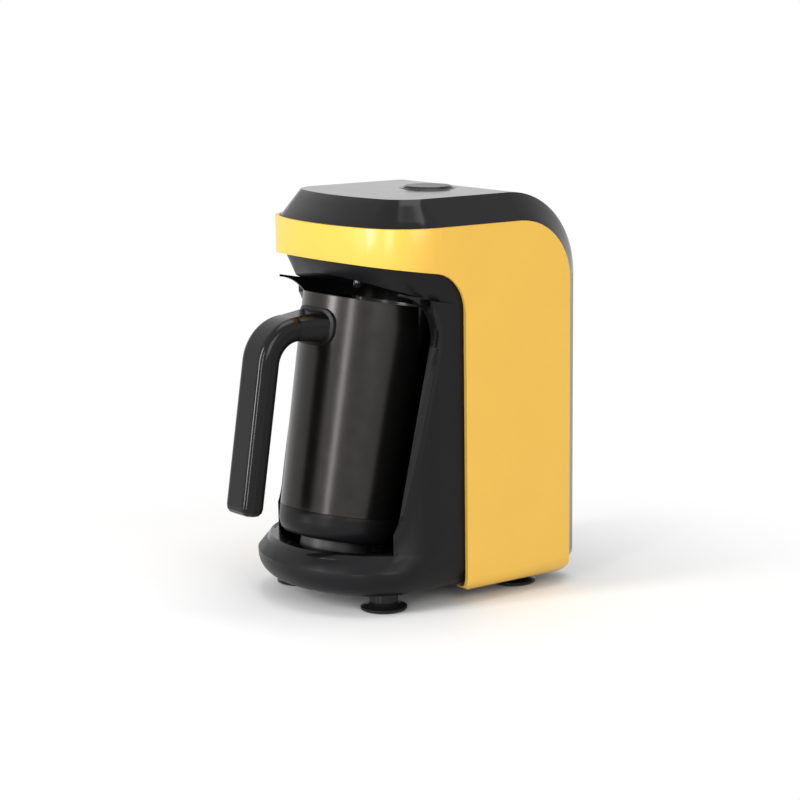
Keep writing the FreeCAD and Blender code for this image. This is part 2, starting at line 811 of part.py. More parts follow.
def make_jug_body():
    spigot_radius = v.jug_low_radius - v.jug_ring_wall - v.fit_gap / 3
    spigot = Part.makeCylinder(spigot_radius, v.jug_spigot, FreeCAD.Vector(0, 0, -v.jug_spigot))
    spigot = spigot.cut(Part.makeCylinder(spigot_radius - v.jug_wall, v.jug_spigot - v.jug_wall,
                                          FreeCAD.Vector(0, 0, -v.jug_spigot)))
    shape = jug_filled(0).cut(jug_filled(v.jug_wall)).fuse(spigot)
    bead = Part.makeTorus(v.jug_rim_radius - v.jug_wall / 2, v.jug_rim_bead, FreeCAD.Vector(0, 0, v.jug_height))
    mouth = jug_filled(v.jug_wall)
    above = block(-FAR, FAR, -FAR, FAR, v.jug_height, FAR)
    shape = shape.cut(above)
    for side in (-1, 1):
        crest = beside_jug(side, v.jug_rim_radius + v.spout_reach - v.spout_radius, v.jug_height)
        notch = rod(v.spout_radius - v.jug_wall, 4 * v.jug_rim_bead, crest.x, crest.y,
                    crest.z - 2 * v.jug_rim_bead)
        bead = bead.cut(notch)
    shape = shape.fuse(bead.cut(mouth)).cut(above)
    add_feature("jug_body", shape.removeSplitter(), JUG_PLACE)


def make_jug_base():
    ring_low = "-jug_ring_height"
    turned_body("jug_base_ring", [
        ("jug_low_radius - jug_ring_wall", "0"),
        ("jug_low_radius", "0"),
        ("jug_low_radius - jug_ring_draft", ring_low + " + jug_ring_round"),
        ("jug_low_radius - jug_ring_round * 0.3", ring_low + " + jug_ring_round * 0.4"),
        ("jug_low_radius - jug_ring_round * 0.6", ring_low + " + jug_ring_round * 0.12"),
        ("jug_low_radius - jug_ring_round", ring_low),
        ("jug_low_radius - jug_ring_round - jug_ring_lap", ring_low),
        ("jug_low_radius - jug_ring_round - jug_ring_lap", ring_low + " + jug_ring_wall"),
        ("jug_low_radius - jug_ring_wall - jug_wall", ring_low + " + jug_ring_round"),
        ("jug_low_radius - jug_ring_wall", ring_low + " + jug_ring_round"),
    ], JUG_PLACE)
    cover_out = "jug_low_radius - jug_ring_round - jug_ring_lap - jug_cover_gap"
    cover_top = ring_low + " + jug_cover_thick"
    turned_body("jug_bottom_cover", [
        ("coupler_neck", ring_low), (cover_out, ring_low), (cover_out, cover_top), ("coupler_neck", cover_top)],
        JUG_PLACE)
    neck = "coupler_neck - jug_cover_gap"
    coupler_top = ring_low + " + coupler_height"
    turned_body("jug_coupler", [
        ("0", ring_low + " + coupler_sink"), (neck, ring_low + " + coupler_sink"), (neck, cover_top),
        ("coupler_radius", cover_top), ("coupler_radius", coupler_top), ("0", coupler_top),
    ], JUG_PLACE)
    turned_body("jug_heater", [
        ("heater_bore", "-jug_wall - heater_thick"), ("heater_radius", "-jug_wall - heater_thick"),
        ("heater_radius", "-jug_wall"), ("heater_bore", "-jug_wall")], JUG_PLACE)
    turned_body("jug_thermostat", [
        ("0", coupler_top), ("thermostat_radius", coupler_top), ("thermostat_radius", "-jug_wall"),
        ("0", "-jug_wall")], JUG_PLACE)
    seal_out = "jug_low_radius - jug_ring_wall - jug_wall - seal_gap"
    seal_in = seal_out + " - seal_width"
    turned_body("jug_seal", [
        (seal_in, "-jug_wall - seal_height"), (seal_out, "-jug_wall - seal_height"), (seal_out, "-jug_wall"),
        (seal_in, "-jug_wall")], JUG_PLACE)


# Handle


def handle_path():
    """Straight from the root, round the knee, straight down the grip: (y, z) and travel direction."""
    root = FreeCAD.Vector(0, jug_front_y(v.handle_root_z) + v.handle_root_sink, v.handle_root_z)
    knee = FreeCAD.Vector(0, v.handle_knee_y, v.handle_root_z)
    end = FreeCAD.Vector(0, v.handle_end_y, v.handle_end_z)
    return root, knee, end


def jug_front_y(z):
    """Place of the jug's front wall in the middle plane at a height."""
    along = (z - v.jug_z) / math.cos(LEAN)
    return v.jug_y + (z - v.jug_z) * math.tan(LEAN) - jug_radius(along) / math.cos(LEAN)


def rounded_section(centre, out_dir, width, depth, corner):
    """A round-cornered oblong across the handle's path: width along X, depth along out_dir."""
    def to_space(a, b):
        return centre + FreeCAD.Vector(1, 0, 0) * a + out_dir * b
    half, deep = width / 2, depth / 2
    return rounded_wire([(-half, -deep, corner), (half, -deep, corner), (half, deep, corner),
                         (-half, deep, corner)], to_space)


def handle_solid():
    root, knee, end = handle_path()
    first = (knee - root).normalize()
    last = (end - knee).normalize()
    turn = first.getAngle(last)
    reach = v.handle_knee_radius * math.tan(turn / 2)
    arc_start = knee - first * reach
    arc_end = knee + last * reach
    out_first = FreeCAD.Vector(0, 0, 1)
    centre = arc_start - out_first * v.handle_knee_radius
    turned = FreeCAD.Rotation(FreeCAD.Vector(1, 0, 0), math.degrees(turn))
    out_last = turned.multVec(out_first)
    flare = Part.makeLoft([
        rounded_section(root, out_first, v.handle_root_width, v.handle_root_depth, v.handle_root_corner),
        rounded_section(arc_start, out_first, v.handle_width, v.handle_depth, v.handle_corner),
    ], True, True)
    bend_section = rounded_section(arc_start, out_first, v.handle_width, v.handle_depth, v.handle_corner)
    bend_face = Part.Face(bend_section)
    bend = bend_face.revolve(centre, FreeCAD.Vector(1, 0, 0), math.degrees(turn))
    grip_face = Part.Face(rounded_section(arc_end, out_last, v.handle_width, v.handle_depth, v.handle_corner))
    grip = grip_face.extrude(end - arc_end)
    tip = []
    for turned_by in (0, 28, 56, 84):
        along = v.handle_tip * math.sin(math.radians(turned_by))
        shrink = v.handle_tip * (1 - math.cos(math.radians(turned_by)))
        tip.append(rounded_section(end + last * along, out_last, v.handle_width - 2 * shrink,
                                   v.handle_depth - 2 * shrink, v.handle_corner - shrink))
    rounded = flare.fuse([bend, grip, Part.makeLoft(tip, True, True)]).removeSplitter()
    return rounded, (root, knee, end, centre, arc_start, arc_end, out_last)


def outer_side(path, shift):
    """Everything outside the handle's middle line, moved outward by a distance."""
    root, knee, end, centre, arc_start, arc_end, out_last = path
    up = FreeCAD.Vector(0, 0, 1)
    radius = v.handle_knee_radius + shift
    start = root + up * shift + FreeCAD.Vector(0, FAR, 0)
    one = arc_start + up * shift
    two = arc_end + out_last * shift
    middle_dir = (up + out_last).normalize()
    middle = centre + middle_dir * radius
    down = end + out_last * shift + (end - arc_end).normalize() * FAR
    far_down = down + out_last * FAR
    far_up = FreeCAD.Vector(0, far_down.y, start.z + FAR)
    far_back = FreeCAD.Vector(0, start.y, start.z + FAR)
    edges = [
        Part.LineSegment(start, one).toShape(),
        Part.Arc(one, middle, two).toShape(),
        Part.LineSegment(two, down).toShape(),
        Part.LineSegment(down, far_down).toShape(),
        Part.LineSegment(far_down, far_up).toShape(),
        Part.LineSegment(far_up, far_back).toShape(),
        Part.LineSegment(far_back, start).toShape(),
    ]
    face = Part.Face(Part.Wire(edges))
    face.translate(FreeCAD.Vector(-FAR, 0, 0))
    return face.extrude(FreeCAD.Vector(2 * FAR, 0, 0))


def make_handle():
    solid, path = handle_solid()
    root = path[0]
    jug_space = leaning(Part.makeCone(v.jug_low_radius, v.jug_rim_radius, v.jug_height))
    solid = solid.cut(jug_space)
    collar = rounded_section(root, FreeCAD.Vector(0, 0, 1), v.handle_root_width + 2 * v.collar_rim,
                             v.handle_root_depth + 2 * v.collar_rim, v.handle_root_corner)
    collar = Part.Face(collar).extrude(FreeCAD.Vector(0, -v.handle_root_width, 0)).cut(jug_space)
    collar = collar.common(leaning(Part.makeCone(v.jug_low_radius + v.collar_reach,
                                                 v.jug_rim_radius + v.collar_reach, v.jug_height)))
    solid = solid.cut(collar)
    top = outer_side(path, v.handle_split)
    core_z = v.handle_root_z - v.bracket_thick
    half = v.bracket_width / 2
    bracket = block(-half, half, root.y - v.handle_root_sink - v.bracket_length, root.y,
                    core_z, core_z + v.bracket_thick).cut(jug_space)
    inner = solid.cut(top).cut(bracket)
    outer = solid.common(top).cut(bracket)
    add_feature("handle_outer", outer)
    add_feature("handle_inner", inner)
    add_feature("handle_collar", collar.cut(bracket))
    add_feature("handle_bracket", bracket)


# Button, its cup, spring, switch and board


def make_button():
    place = FreeCAD.Placement(FreeCAD.Vector(0, v.button_y, 0), FreeCAD.Rotation())
    roof = "cover_top_z - cover_wall"
    cup_in = "button_radius + button_side_gap"
    cup_out = cup_in + " + cup_wall - fit_gap"
    floor = roof + " - cup_depth"
    bore = "button_stem_radius + button_side_gap"
    trim_low = "cover_top_z - trim_sink"
    turned_body("button_cup", [
        (bore, floor),
        (cup_out + " + cup_flange", floor),
        (cup_out + " + cup_flange", floor + " + cup_flange_thick"),
        (cup_out, floor + " + cup_flange_thick"),
        (cup_out, trim_low),
        (cup_in, trim_low),
        (cup_in, floor + " + cup_floor"),
        (bore, floor + " + cup_floor"),
    ], place)
    turned_body("button_trim_ring", [
        (cup_in, trim_low),
        (cup_out, trim_low),
        (cup_out, "cover_top_z"),
        (cup_in + " + cup_wall / 2", "cover_top_z + trim_crown"),
        (cup_in, "cover_top_z"),
    ], place)
    disc_low = "cover_top_z + button_rise - button_disc"
    stem_low = floor + " + cup_floor"
    face_z = "cover_top_z + button_rise"
    turned_body("button_cap", [
        ("0", stem_low),
        ("button_stem_radius", stem_low),
        ("button_stem_radius", disc_low),
        ("button_radius", disc_low),
        ("button_radius", face_z + " - button_bevel"),
        ("button_radius - button_bevel", face_z),
        ("0", face_z + " - button_dish"),
    ], place)
    turned_body("button_spring", [
        ("spring_radius - spring_wall", stem_low),
        ("spring_radius", stem_low),
        ("spring_radius", disc_low),
        ("spring_radius - spring_wall", disc_low),
    ], place)
    board_top = roof + " - cup_depth - fit_gap"
    board_low = board_top + " - board_thick"
    holes = [(("0", "button_y"), "button_stem_radius + button_side_gap")]
    for side in ("-post_x", "post_x"):
        for along in ("button_y - post_y", "button_y + post_y"):
            holes.append(((side, along), "board_hole_radius"))
    outline = oblong("board_half_x", "button_y - board_half_y", "button_y + board_half_y")
    plate_body("control_board", outline, board_low, board_top, holes)


def control_deck():
    """Height of the control board's underside."""
    return v.cover_top_z - v.cover_wall - v.cup_depth - v.fit_gap - v.board_thick


def make_switch():
    """The switch hangs under the board; its plunger stands up through the board to the button's stem."""
    place = FreeCAD.Placement(FreeCAD.Vector(0, v.button_y, 0), FreeCAD.Rotation())
    deck = "cover_top_z - cover_wall - cup_depth - fit_gap - board_thick"
    bore = "plunger_radius + plunger_side_gap"
    turned_body("switch_body", [
        ("0", deck + " - switch_high"),
        ("switch_side / 2", deck + " - switch_high"),
        ("switch_side / 2", deck),
        (bore, deck),
        (bore, deck + " - switch_high + switch_floor"),
        ("0", deck + " - switch_high + switch_floor"),
    ], place)
    tip = "cover_top_z - cover_wall - cup_depth + cup_floor - plunger_gap"
    foot = deck + " - switch_high + 2 * switch_floor + button_travel"
    turned_body("switch_plunger", [
        ("0", foot), ("plunger_radius", foot), ("plunger_radius", tip), ("0", tip)], place)


def box_part(label, x, y, z, length, width, height):
    """An oblong piece, every size and place an expression."""
    box = doc.addObject("Part::Box", label)
    box.Label = label
    for name, text in (("Length", length), ("Width", width), ("Height", height)):
        box.setExpression(name, bind(text))
    for axis, text in (("x", x), ("y", y), ("z", z)):
        box.setExpression("Placement.Base." + axis, bind(text))
    nodes.append(box)
    return box


def along_y(radius, length, x, y, z):
    return Part.makeCylinder(radius, length, FreeCAD.Vector(x, y, z), FreeCAD.Vector(0, 1, 0))


def foot_screws():
    """Where the chassis is screwed down through the tray."""
    rear = v.chassis_y + v.chassis_wall
    inner = v.foot_screw_x - v.foot_screw_pitch
    return [(x, rear + v.foot_flange / 2) for x in (-v.foot_screw_x, -inner, inner, v.foot_screw_x)]


def make_chassis():
    half = v.chassis_half_width
    floor = v.tray_bottom_z + v.tray_wall
    plate = block(-half, half, v.chassis_y, v.chassis_y + v.chassis_wall, floor, v.chassis_top_z)
    foot = block(-half, half, v.chassis_y, v.chassis_y + v.foot_flange, floor, floor + v.chassis_wall)
    chassis = plate.fuse(foot)
    for side in (-1, 1):
        low, high = sorted((side * (half - v.chassis_wall), side * half))
        rib = block(low, high, v.chassis_y, v.chassis_y + v.chassis_rib, floor, v.chassis_top_z)
        chassis = chassis.fuse(rib)
    for x, y in foot_screws():
        chassis = chassis.cut(rod(v.foot_screw_radius + v.screw_gap, 2 * v.chassis_wall, x, y, floor))
    add_feature("chassis", chassis.removeSplitter())
    screws = []
    for x, y in foot_screws():
        head = rod(v.screw_head_radius, v.screw_head, x, y, v.tray_bottom_z - v.screw_head)
        shank = rod(v.foot_screw_radius, v.foot_screw_length, x, y, v.tray_bottom_z)
        screws.append(head.fuse(shank).removeSplitter())
    add_feature("chassis_screws", Part.makeCompound(screws))


def make_electronics():
    back = "chassis_y + chassis_wall"
    board_y = back + " + standoff"
    front = board_y + " + board_thick"
    box_part("power_board", "-power_board_width / 2", board_y, "power_board_low_z", "power_board_width",
             "board_thick", "power_board_height")
    low = v.power_board_low_z + v.power_board_margin
    high = v.power_board_low_z + v.power_board_height - v.power_board_margin
    side = v.power_board_width / 2 - v.power_board_margin
    posts = [along_y(v.standoff_radius, v.standoff, x, v.chassis_y + v.chassis_wall, z)
             for x in (-side, side) for z in (low, high)]
    add_feature("board_standoffs", Part.makeCompound(posts))
    shelf = "power_board_low_z + power_board_margin"
    box_part("transformer", "-transformer_width", front, shelf, "transformer_width", "transformer_depth",
             "transformer_height")
    box_part("relay", "2 * part_gap", front, shelf, "relay_width", "relay_depth", "relay_height")
    box_part("terminal_block", "part_gap", front,
             "power_board_low_z + power_board_height - power_board_margin - terminal_height - 2 * part_gap",
             "terminal_width", "terminal_depth", "terminal_height")
    face = v.chassis_y + v.chassis_wall + v.standoff + v.board_thick
    left = -v.part_gap - v.sink_width
    sink_low = low + v.transformer_height + 2 * v.part_gap
    sink = block(left, left + v.sink_width, face, face + v.sink_plate, sink_low, sink_low + v.sink_height)
    for index in range(1 + int((v.sink_width - v.fin_thick) / v.fin_pitch)):
        fin = left + index * v.fin_pitch
        sink = sink.fuse(block(fin, fin + v.fin_thick, face, face + v.sink_depth, sink_low,
                               sink_low + v.sink_height))
    add_feature("heat_sink", sink.removeSplitter())
    cap_z = low + v.relay_height + v.part_gap + v.capacitor_radius
    cap_x = 2 * v.part_gap + v.capacitor_radius
    caps = [along_y(v.capacitor_radius, v.capacitor_length, x, face, cap_z)
            for x in (cap_x, cap_x + v.capacitor_pitch)]
    add_feature("capacitors", Part.makeCompound(caps))
    deck = control_deck()
    add_feature("buzzer", rod(v.buzzer_radius, v.buzzer_height, v.post_x - 2 * v.part_gap,
                              v.button_y - v.post_y / 2, deck - v.buzzer_height))
    wire_low = high - v.part_gap
    add_feature("wiring_harness", rod(v.wire_radius, deck - wire_low, 0, face + v.wire_radius, wire_low))
    screws = []
    for x, y in board_posts():
        head = rod(v.board_screw_head_radius, v.board_screw_head, x, y, deck - v.board_screw_head)
        screws.append(head.fuse(rod(v.board_screw_radius, v.board_screw_length, x, y, deck)).removeSplitter())
    add_feature("board_screws", Part.makeCompound(screws))
    gland_place = FreeCAD.Placement(FreeCAD.Vector(0, v.cover_rear_y, v.cord_z),
                                    FreeCAD.Rotation(FreeCAD.Vector(1, 0, 0), -90))
    inner_end = "-cover_wall - gland_flange_thick"
    flange = "gland_radius + gland_flange"
    turned_body("cord_gland", [
        ("cord_bore / 2", inner_end), (flange, inner_end), (flange, "-cover_wall"),
        ("gland_radius", "-cover_wall"), ("gland_radius", "0"), ("cord_bore / 2", "0"),
    ], gland_place)


def make_sensor():
    place = JUG_PLACE.multiply(FreeCAD.Placement(FreeCAD.Vector(0, v.sensor_y, 0), FreeCAD.Rotation()))
    tip = "ceiling - sensor_drop"
    seat = "ceiling + frame_wall"
    turned_body("sensor_lens", [
        ("0", tip),
        ("sensor_radius * 0.56", tip + " + sensor_radius * 0.13"),
        ("sensor_radius * 0.9", tip + " + sensor_radius * 0.5"),
        ("sensor_radius", tip + " + sensor_radius"),
        ("sensor_radius", seat),
        ("0", seat),
    ], place)
    turned_body("sensor_housing", [
        ("0", seat), ("sensor_housing_radius", seat),
        ("sensor_housing_radius", seat + " + sensor_housing_height"), ("0", seat + " + sensor_housing_height"),
    ], place)


def make_dock_cable():
    """The dock's lead: down under the alcove's floor, then back along the tray to the chassis."""
    low = v.tray_bottom_z + v.tray_wall + v.cable_radius + v.fit_gap
    start_y = v.jug_y + v.cable_offset
    under = v.jug_z + (FLOOR - v.liner_wall) / math.cos(LEAN) - v.cable_offset * math.tan(LEAN)
    bend = v.cable_bend
    short = bend * (1 - math.sqrt(0.5))
    first = FreeCAD.Vector(0, start_y, under - v.cable_radius * math.tan(LEAN) - v.fit_gap)
    one = FreeCAD.Vector(0, start_y, low + bend)
    mid = FreeCAD.Vector(0, start_y + short, low + short)
    two = FreeCAD.Vector(0, start_y + bend, low)
    last = FreeCAD.Vector(0, v.chassis_y, low)
    path = Part.Wire([Part.LineSegment(first, one).toShape(), Part.Arc(one, mid, two).toShape(),
                      Part.LineSegment(two, last).toShape()])
    ring = Part.Wire(Part.makeCircle(v.cable_radius, first, FreeCAD.Vector(0, 0, -1)))
    add_feature("dock_cable", path.makePipeShell([ring], True, False))


# Build everything

make_side_shell()
make_cover()
make_front_frame()
make_alcove_liner()
make_base_tray()
make_feet()
make_dock()
make_jug_body()
make_jug_base()
make_handle()
make_button()
make_switch()
make_chassis()
make_electronics()
make_sensor()
make_dock_cable()

doc.recompute()

for item in doc.Objects:
    if "Invalid" in item.State or "Error" in item.State:
        raise RuntimeError("%s failed: %s" % (item.Label, item.State))
for node in nodes:
    if node.Shape.isNull() or not node.Shape.isValid() or not node.Shape.Solids:
        raise RuntimeError("%s has no valid solid" % node.Label)

os.makedirs("parts", exist_ok=True)
for node in nodes:
    node.Shape.exportStep("parts/%s.step" % node.Label)
    box = node.Shape.optimalBoundingBox(False)
    print("%-20s %d solid  x %7.1f %7.1f  y %7.1f %7.1f  z %7.1f %7.1f  vol %10.1f" % (
        node.Label, len(node.Shape.Solids), box.XMin, box.XMax, box.YMin, box.YMax, box.ZMin, box.ZMax,
        node.Shape.Volume))
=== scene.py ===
import json
import math

import bpy
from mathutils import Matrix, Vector

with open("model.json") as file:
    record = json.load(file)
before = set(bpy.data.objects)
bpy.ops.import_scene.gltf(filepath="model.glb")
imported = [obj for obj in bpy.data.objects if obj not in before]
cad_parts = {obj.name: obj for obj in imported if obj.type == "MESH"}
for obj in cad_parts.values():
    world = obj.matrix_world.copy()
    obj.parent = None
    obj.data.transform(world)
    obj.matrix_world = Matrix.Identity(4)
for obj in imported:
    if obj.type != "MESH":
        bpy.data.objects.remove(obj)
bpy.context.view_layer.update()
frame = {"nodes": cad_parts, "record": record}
nodes = frame["nodes"]

# Colours, in linear values
YELLOW = (0.74, 0.44, 0.055)
BLACK_GLOSS = (0.004, 0.004, 0.0045)
BLACK_SATIN = (0.006, 0.006, 0.0068)
JUG_DARK = (0.036, 0.034, 0.033)
RUBBER = (0.007, 0.007, 0.007)
BUTTON_GREY = (0.012, 0.012, 0.013)
TRIM_DARK = (0.05, 0.05, 0.052)
STEEL = (0.45, 0.45, 0.46)
SPRING_STEEL = (0.4, 0.4, 0.41)
HEATER_GREY = (0.5, 0.5, 0.5)
BRASS = (0.6, 0.42, 0.16)
BOARD_GREEN = (0.01, 0.09, 0.035)
INNER_BLACK = (0.02, 0.02, 0.022)
LENS_BLACK = (0.02, 0.02, 0.024)
SILICONE_GREY = (0.25, 0.23, 0.22)
TAPE_YELLOW = (0.45, 0.33, 0.05)
FLOOR_WHITE = (0.86, 0.86, 0.86)
WHITE = (1.0, 1.0, 1.0)

# Scales of the noise that varies a finish, per metre
DRIFT_SCALE = 30.0
POLISH_SCALE = 60.0
STREAK_SCALE = 120.0
FLOOR_SCALE = 4.0

# Directions of drawn streaks in metal, as stretch factors
EVEN = (1.0, 1.0, 1.0)
DRAWN = (1.0, 1.0, 6.0)
LIGHTLY_DRAWN = (1.0, 1.0, 3.0)

# Where a colour ramp turns from its dark end to its light end
RAMP_DARK = 0.3
RAMP_LIGHT = 0.7

# Surface relief
GRAIN_STRENGTH = 0.25
GRAIN_DETAIL = 2.0
STREAK_DETAIL = 4.0
STREAK_STRENGTH = 0.1
STREAK_DEPTH = 0.00001
STREAK_TINT = 0.08


# Materials


def new_material(name):
    """An empty material with one shader joined to its output."""
    material = bpy.data.materials.new(name)
    material.use_nodes = True
    tree = material.node_tree
    tree.nodes.clear()
    output = tree.nodes.new("ShaderNodeOutputMaterial")
    output.name = "Material Output"
    shader = tree.nodes.new("ShaderNodeBsdfPrincipled")
    tree.links.new(shader.outputs["BSDF"], output.inputs["Surface"])
    return material, tree, shader


def noise(tree, scale, detail=3.0, stretch=None):
    """Noise in object space, stretched along an axis where factors are given."""
    coords = tree.nodes.new("ShaderNodeTexCoord")
    texture = tree.nodes.new("ShaderNodeTexNoise")
    texture.inputs["Scale"].default_value = scale
    texture.inputs["Detail"].default_value = detail
    source = coords.outputs["Object"]
    if stretch is not None:
        mapping = tree.nodes.new("ShaderNodeMapping")
        mapping.inputs["Scale"].default_value = stretch
        tree.links.new(source, mapping.inputs["Vector"])
        source = mapping.outputs["Vector"]
    tree.links.new(source, texture.inputs["Vector"])
    return texture.outputs["Fac"]


def ranged(tree, factor, low, high):
    """The factor, moved to run from a low to a high value."""
    node = tree.nodes.new("ShaderNodeMapRange")
    node.inputs["To Min"].default_value = low
    node.inputs["To Max"].default_value = high
    tree.links.new(factor, node.inputs["Value"])
    return node.outputs["Result"]


def tinted(tree, factor, colour, spread):
    """The base colour, varied a little lighter and darker by a factor."""
    ramp = tree.nodes.new("ShaderNodeValToRGB")
    dark = tuple(c * (1 - spread) for c in colour)
    light = tuple(min(1.0, c * (1 + spread)) for c in colour)
    ramp.color_ramp.elements[0].color = (*dark, 1)
    ramp.color_ramp.elements[1].color = (*light, 1)
    ramp.color_ramp.elements[0].position = RAMP_DARK
    ramp.color_ramp.elements[1].position = RAMP_LIGHT
    tree.links.new(factor, ramp.inputs["Fac"])
    return ramp.outputs["Color"]


def bumped(tree, shader, factor, strength, distance):
    """Raises fine relief on the surface by a factor."""
    bump = tree.nodes.new("ShaderNodeBump")
    bump.inputs["Strength"].default_value = strength
    bump.inputs["Distance"].default_value = distance
    tree.links.new(factor, bump.inputs["Height"])
    tree.links.new(bump.outputs["Normal"], shader.inputs["Normal"])


def plastic(name, colour, rough, rough_spread=0.05, grain=900.0, grain_depth=0.00001, spread=0.04,
            specular=0.5):
    """Moulded plastic: slow colour drift, fine grain, uneven polish."""
    material, tree, shader = new_material(name)
    tree.links.new(tinted(tree, noise(tree, DRIFT_SCALE), colour, spread), shader.inputs["Base Color"])
    polish = ranged(tree, noise(tree, POLISH_SCALE), rough - rough_spread, rough + rough_spread)
    tree.links.new(polish, shader.inputs["Roughness"])
    shader.inputs["Specular IOR Level"].default_value = specular
    bumped(tree, shader, noise(tree, grain, GRAIN_DETAIL), GRAIN_STRENGTH, grain_depth)
    return material


def metal(name, colour, rough, rough_spread, stretch=EVEN, metallic=1.0):
    """Metal with fine drawn streaks."""
    material, tree, shader = new_material(name)
    streaks = noise(tree, STREAK_SCALE, STREAK_DETAIL, stretch)
    tree.links.new(tinted(tree, streaks, colour, STREAK_TINT), shader.inputs["Base Color"])
    polish = ranged(tree, streaks, rough - rough_spread, rough + rough_spread)
    tree.links.new(polish, shader.inputs["Roughness"])
    shader.inputs["Metallic"].default_value = metallic
    bumped(tree, shader, streaks, STREAK_STRENGTH, STREAK_DEPTH)
    return material


MATERIALS = {
    "coloured_shell": plastic("coloured_shell", YELLOW, 0.30, 0.03, 1400.0, 0.000004, spread=0.015),
    "black_satin": plastic("black_satin", BLACK_SATIN, 0.36, 0.04, 1600.0, 0.000006, specular=0.16),
    "black_gloss": plastic("black_gloss", BLACK_GLOSS, 0.14, 0.03, 1200.0, 0.000002, specular=0.24),
    "jug_metal": metal("jug_metal", JUG_DARK, 0.26, 0.03, metallic=0.9),
    "foot_rubber": plastic("foot_rubber", RUBBER, 0.3, 0.05, 1500.0, 0.00001, specular=0.2),
    "button_grey": plastic("button_grey", BUTTON_GREY, 0.3, 0.03, 1500.0, 0.000008, specular=0.2),
    "bright_trim": metal("bright_trim", TRIM_DARK, 0.2, 0.04),
    "plain_metal": metal("plain_metal", STEEL, 0.35, 0.08, DRAWN),
    "brass_contact": metal("brass_contact", BRASS, 0.3, 0.06, LIGHTLY_DRAWN),
    "circuit_board": plastic("circuit_board", BOARD_GREEN, 0.35, 0.05, 500.0, 0.00002),
    "inner_plastic": plastic("inner_plastic", INNER_BLACK, 0.45, 0.05, 800.0, 0.00002),
    "lens_clear": plastic("lens_clear", LENS_BLACK, 0.08, 0.02, 800.0, 0.000002),
    "silicone": plastic("silicone", SILICONE_GREY, 0.5, 0.05, 700.0, 0.00002),
    "spring_steel": metal("spring_steel", SPRING_STEEL, 0.3, 0.05),
    "heater_metal": metal("heater_metal", HEATER_GREY, 0.45, 0.08),
    "transformer_tape": plastic("transformer_tape", TAPE_YELLOW, 0.4, 0.05, 500.0, 0.00002),
}

# Widths of the rounding on the outer pieces' edges, in metres
EDGE_ROUNDING = {
    "side_shell": 0.0012,
    "front_frame": 0.0008,
    "alcove_liner": 0.0007,
    "base_tray": 0.0008,
    "foot_front_left": 0.0006,
    "foot_front_right": 0.0006,
    "foot_rear_left": 0.0006,
    "foot_rear_right": 0.0006,
    "jug_base_ring": 0.0006,
    "button_cap": 0.0004,
    "button_trim_ring": 0.0002,
}
COVER_ROUNDING = 0.0022
COVER_ANGLE = 20.0
COVER_SEGMENTS = 4
WELD_DISTANCE = 0.00001


def dress_cad_nodes():
    """Every carried-over node takes the material of its own slot in the record."""
    for entry in frame["record"]["subparts"]:
        node = nodes[entry["node"]]
        material = MATERIALS[entry["material_slot"]]
        node.data.materials.clear()
        node.data.materials.append(material)


def soften(name, width, angle=35.0, segments=3):
    """Rounds a carried-over node's sharp edges so that they catch the light."""
    node = nodes[name]
    weld = node.modifiers.new("weld", "WELD")
    weld.merge_threshold = WELD_DISTANCE
    bevel = node.modifiers.new("bevel", "BEVEL")
    bevel.width = width
    bevel.segments = segments
    bevel.limit_method = "ANGLE"
    bevel.angle_limit = math.radians(angle)
    bevel.harden_normals = True
    bevel.miter_outer = "MITER_ARC"


dress_cad_nodes()

for piece_name, edge_width in EDGE_ROUNDING.items():
    soften(piece_name, edge_width)
soften("top_rear_cover", COVER_ROUNDING, COVER_ANGLE, COVER_SEGMENTS)


# Camera, lamps and backdrop

CAMERA_PLACE = Vector((1.175406, -0.880562, 0.383538))
CAMERA_TURN = math.radians(49.453)
CAMERA_DIP = math.radians(14.626)
FOCAL = 108.480
SENSOR = 36.0
SHIFT = (-0.168611, 0.230270)
NEAR, FAR = 0.05, 30.0

# Lamps: name, place, size and power, all of them white and aimed at the machine
MACHINE_MIDDLE = (0, 0, 0.12)
LAMPS = [
    ("key", (-0.3, -1.5, 0.6), MACHINE_MIDDLE, (0.3, 1.0), 18.0),
    ("fill", (1.5, -0.35, 0.7), MACHINE_MIDDLE, (0.8, 0.8), 8.0),
    ("strip", (0.62, -1.35, 0.35), MACHINE_MIDDLE, (0.12, 0.9), 6.0),
    ("top", (0.1, 0.2, 1.6), (0, 0, 0.1), (1.0, 1.0), 9.0),
]

FLOOR_HALF = 6.0
FLOOR_TINT = 0.01
FLOOR_ROUGH = 0.6
FLOOR_SPECULAR = 0.2
SHADOW_NEAR, SHADOW_FAR = 0.13, 0.34
ROOM_LIGHT = 0.55


def add_camera():
    data = bpy.data.cameras.new("camera")
    data.lens = FOCAL
    data.sensor_width = SENSOR
    data.shift_x, data.shift_y = SHIFT
    data.clip_start = NEAR
    data.clip_end = FAR
    camera = bpy.data.objects.new("camera", data)
    camera.location = CAMERA_PLACE
    camera.rotation_euler = (math.pi / 2 - CAMERA_DIP, 0, CAMERA_TURN)
    bpy.context.collection.objects.link(camera)
    bpy.context.scene.camera = camera


def add_lamp(name, place, target, size, power):
    data = bpy.data.lights.new(name, "AREA")
    data.shape = "RECTANGLE"
    data.size, data.size_y = size
    data.energy = power
    data.color = WHITE
    lamp = bpy.data.objects.new(name, data)
    lamp.location = place
    aim = Vector(target) - Vector(place)
    lamp.rotation_euler = aim.to_track_quat("-Z", "Y").to_euler()
    bpy.context.collection.objects.link(lamp)


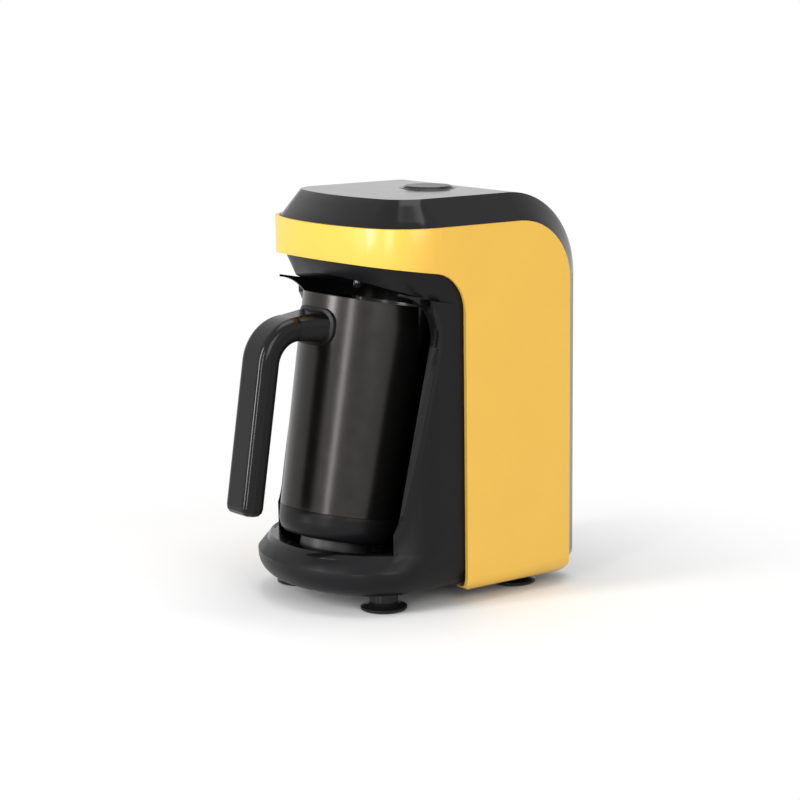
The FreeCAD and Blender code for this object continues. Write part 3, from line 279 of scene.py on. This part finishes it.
def seen_directly(tree):
    """One for camera, glossy and transmission rays, nothing for the light that falls on surfaces."""
    path = tree.nodes.new("ShaderNodeLightPath")
    largest = path.outputs["Is Camera Ray"]
    for name in ("Is Glossy Ray", "Is Transmission Ray"):
        node = tree.nodes.new("ShaderNodeMath")
        node.operation = "MAXIMUM"
        tree.links.new(largest, node.inputs[0])
        tree.links.new(path.outputs[name], node.inputs[1])
        largest = node.outputs["Value"]
    return largest


def add_floor():
    """A pale floor that keeps the shadow near the machine and is white further off."""
    mesh = bpy.data.meshes.new("floor")
    corners = [(-FLOOR_HALF, -FLOOR_HALF, 0), (FLOOR_HALF, -FLOOR_HALF, 0), (FLOOR_HALF, FLOOR_HALF, 0),
               (-FLOOR_HALF, FLOOR_HALF, 0)]
    mesh.from_pydata(corners, [], [(0, 1, 2, 3)])
    floor = bpy.data.objects.new("floor", mesh)
    bpy.context.collection.objects.link(floor)
    material, tree, shader = new_material("floor")
    pale = tinted(tree, noise(tree, FLOOR_SCALE), FLOOR_WHITE, FLOOR_TINT)
    tree.links.new(pale, shader.inputs["Base Color"])
    shader.inputs["Roughness"].default_value = FLOOR_ROUGH
    shader.inputs["Specular IOR Level"].default_value = FLOOR_SPECULAR
    output = tree.nodes["Material Output"]
    white = tree.nodes.new("ShaderNodeEmission")
    mix = tree.nodes.new("ShaderNodeMixShader")
    coords = tree.nodes.new("ShaderNodeTexCoord")
    distance = tree.nodes.new("ShaderNodeVectorMath")
    distance.operation = "LENGTH"
    far = tree.nodes.new("ShaderNodeMapRange")
    far.interpolation_type = "SMOOTHSTEP"
    far.inputs["From Min"].default_value = SHADOW_NEAR
    far.inputs["From Max"].default_value = SHADOW_FAR
    both = tree.nodes.new("ShaderNodeMath")
    both.operation = "MULTIPLY"
    tree.links.new(coords.outputs["Object"], distance.inputs[0])
    tree.links.new(distance.outputs["Value"], far.inputs["Value"])
    tree.links.new(far.outputs["Result"], both.inputs[0])
    tree.links.new(seen_directly(tree), both.inputs[1])
    tree.links.new(both.outputs["Value"], mix.inputs["Fac"])
    tree.links.new(shader.outputs["BSDF"], mix.inputs[1])
    tree.links.new(white.outputs["Emission"], mix.inputs[2])
    tree.links.new(mix.outputs["Shader"], output.inputs["Surface"])
    floor.data.materials.append(material)


def set_world():
    """White where it is seen, also in reflections and through glass, and a softer light on surfaces."""
    world = bpy.data.worlds.new("studio")
    bpy.context.scene.world = world
    world.use_nodes = True
    tree = world.node_tree
    tree.nodes.clear()
    output = tree.nodes.new("ShaderNodeOutputWorld")
    mix = tree.nodes.new("ShaderNodeMixShader")
    seen = tree.nodes.new("ShaderNodeBackground")
    light = tree.nodes.new("ShaderNodeBackground")
    seen.inputs["Color"].default_value = (*WHITE, 1)
    light.inputs["Color"].default_value = (*WHITE, 1)
    light.inputs["Strength"].default_value = ROOM_LIGHT
    tree.links.new(seen_directly(tree), mix.inputs["Fac"])
    tree.links.new(light.outputs["Background"], mix.inputs[1])
    tree.links.new(seen.outputs["Background"], mix.inputs[2])
    tree.links.new(mix.outputs["Shader"], output.inputs["Surface"])


add_camera()
add_floor()
set_world()
for lamp in LAMPS:
    add_lamp(*lamp)

bpy.context.scene.view_settings.view_transform = "Standard"
